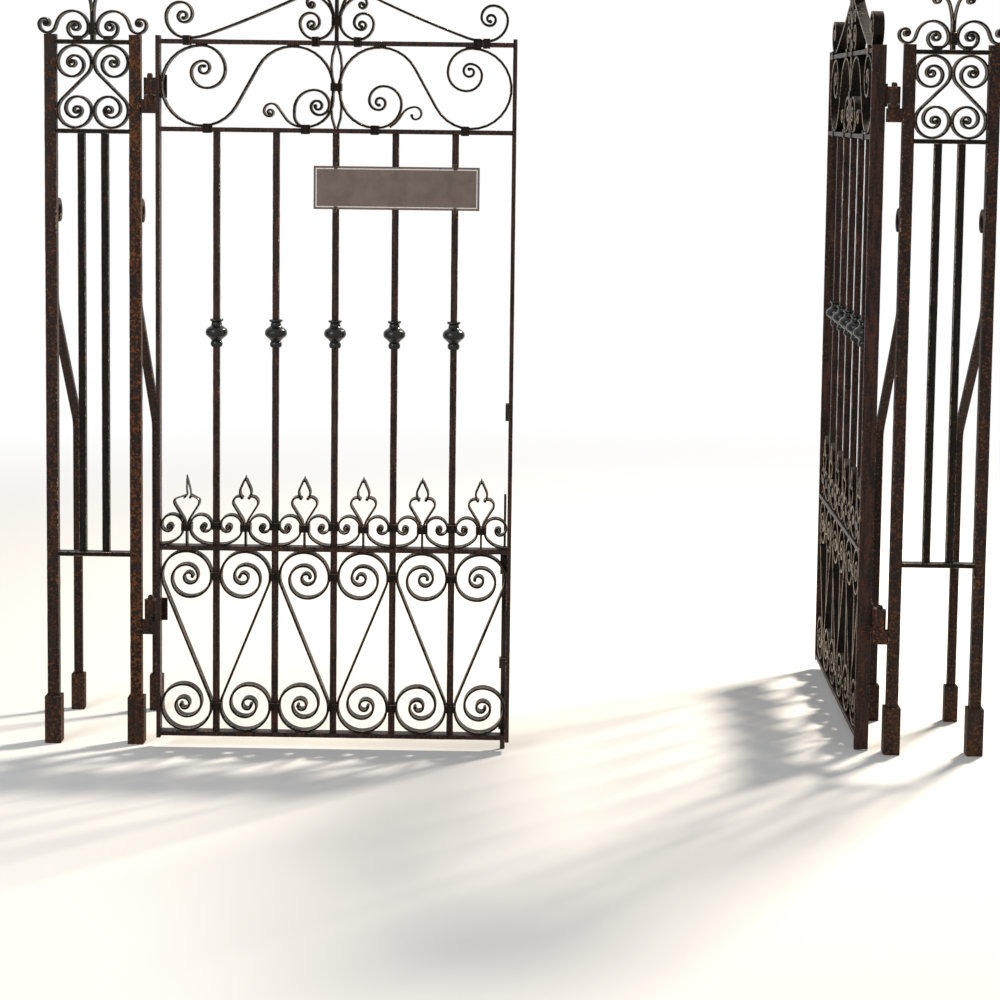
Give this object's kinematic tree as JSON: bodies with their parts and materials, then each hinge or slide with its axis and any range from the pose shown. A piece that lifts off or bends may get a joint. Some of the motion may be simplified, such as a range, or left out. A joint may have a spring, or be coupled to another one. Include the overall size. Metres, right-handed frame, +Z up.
{
  "type": "wrought iron gate",
  "caption": "Pair of forged iron gate leaves with scrollwork, finials and knops, between square posts with open side panels and curled back stays; one leaf stands open.",
  "frame": {"origin": "middle of the left gate post's foot, on the ground", "axes": "+X from the left gate post to the right one, +Y away from the viewer into the drive, +Z up"},
  "size_m": [2.34, 0.9513, 1.9188],
  "materials": {
    "rusty_post_paint": "old dark paint, rusted through to orange brown in patches",
    "bar_paint": "old black paint, dull, with brown rust bloom",
    "scroll_paint": "old black paint over forged strip, worn brown on its edges",
    "cast_knop_iron": "black paint on cast iron",
    "boot_iron": "thick rusted iron, dull",
    "hinge_iron": "rusted iron with remains of paint",
    "bare_iron": "worn iron, dull",
    "sign_paint": "weathered brown paint with a thin pale border line"
  },
  "bodies": {
    "frame": {"left_gate_post": "rusty_post_paint", "right_gate_post": "rusty_post_paint", "left_end_post": "rusty_post_paint", "right_end_post": "rusty_post_paint", "post_boots": "boot_iron", "back_stays": "rusty_post_paint", "stay_boots": "boot_iron", "left_wing_rails": "bar_paint", "right_wing_rails": "bar_paint", "left_wing_bars": "bar_paint", "right_wing_bars": "bar_paint", "left_wing_scrolls": "scroll_paint", "right_wing_scrolls": "scroll_paint", "left_wing_crest": "scroll_paint", "right_wing_crest": "scroll_paint", "hinge_gudgeons": "hinge_iron", "hinge_washers": "hinge_iron"},
    "left_leaf": {"left_hinge_stile": "bar_paint", "left_meeting_stile": "bar_paint", "left_rails": "bar_paint", "left_bars": "bar_paint", "left_knops": "cast_knop_iron", "left_frieze_scrolls": "scroll_paint", "left_finials": "scroll_paint", "left_lower_scrolls": "scroll_paint", "left_crest": "scroll_paint", "left_hinge_eyes": "hinge_iron", "sign_plate": "sign_paint", "sign_ties": "bare_iron", "bolt_guides": "bare_iron", "latch_keep": "bare_iron"},
    "right_leaf": {"right_hinge_stile": "bar_paint", "right_meeting_stile": "bar_paint", "right_rails": "bar_paint", "right_bars": "bar_paint", "right_knops": "cast_knop_iron", "right_frieze_scrolls": "scroll_paint", "right_finials": "scroll_paint", "right_lower_scrolls": "scroll_paint", "right_crest": "scroll_paint", "right_hinge_eyes": "hinge_iron"},
    "drop_bolt": {"drop_bolt": "bare_iron"}
  },
  "joints": [
    {"name": "left_leaf_hinge", "type": "hinge", "parent": "frame", "child": "left_leaf", "pos_m": [0.035, 0, 1], "axis": [0, 0, 1], "range_deg": [0, 95]},
    {"name": "right_leaf_hinge", "type": "hinge", "parent": "frame", "child": "right_leaf", "pos_m": [1.835, 0, 1], "axis": [0, 0, 1], "range_deg": [-4.5, 90.5]},
    {"name": "bolt_slide", "type": "slide", "parent": "left_leaf", "child": "drop_bolt", "axis": [0, 0, 1], "range_m": [0, 0.06]}
  ]
}
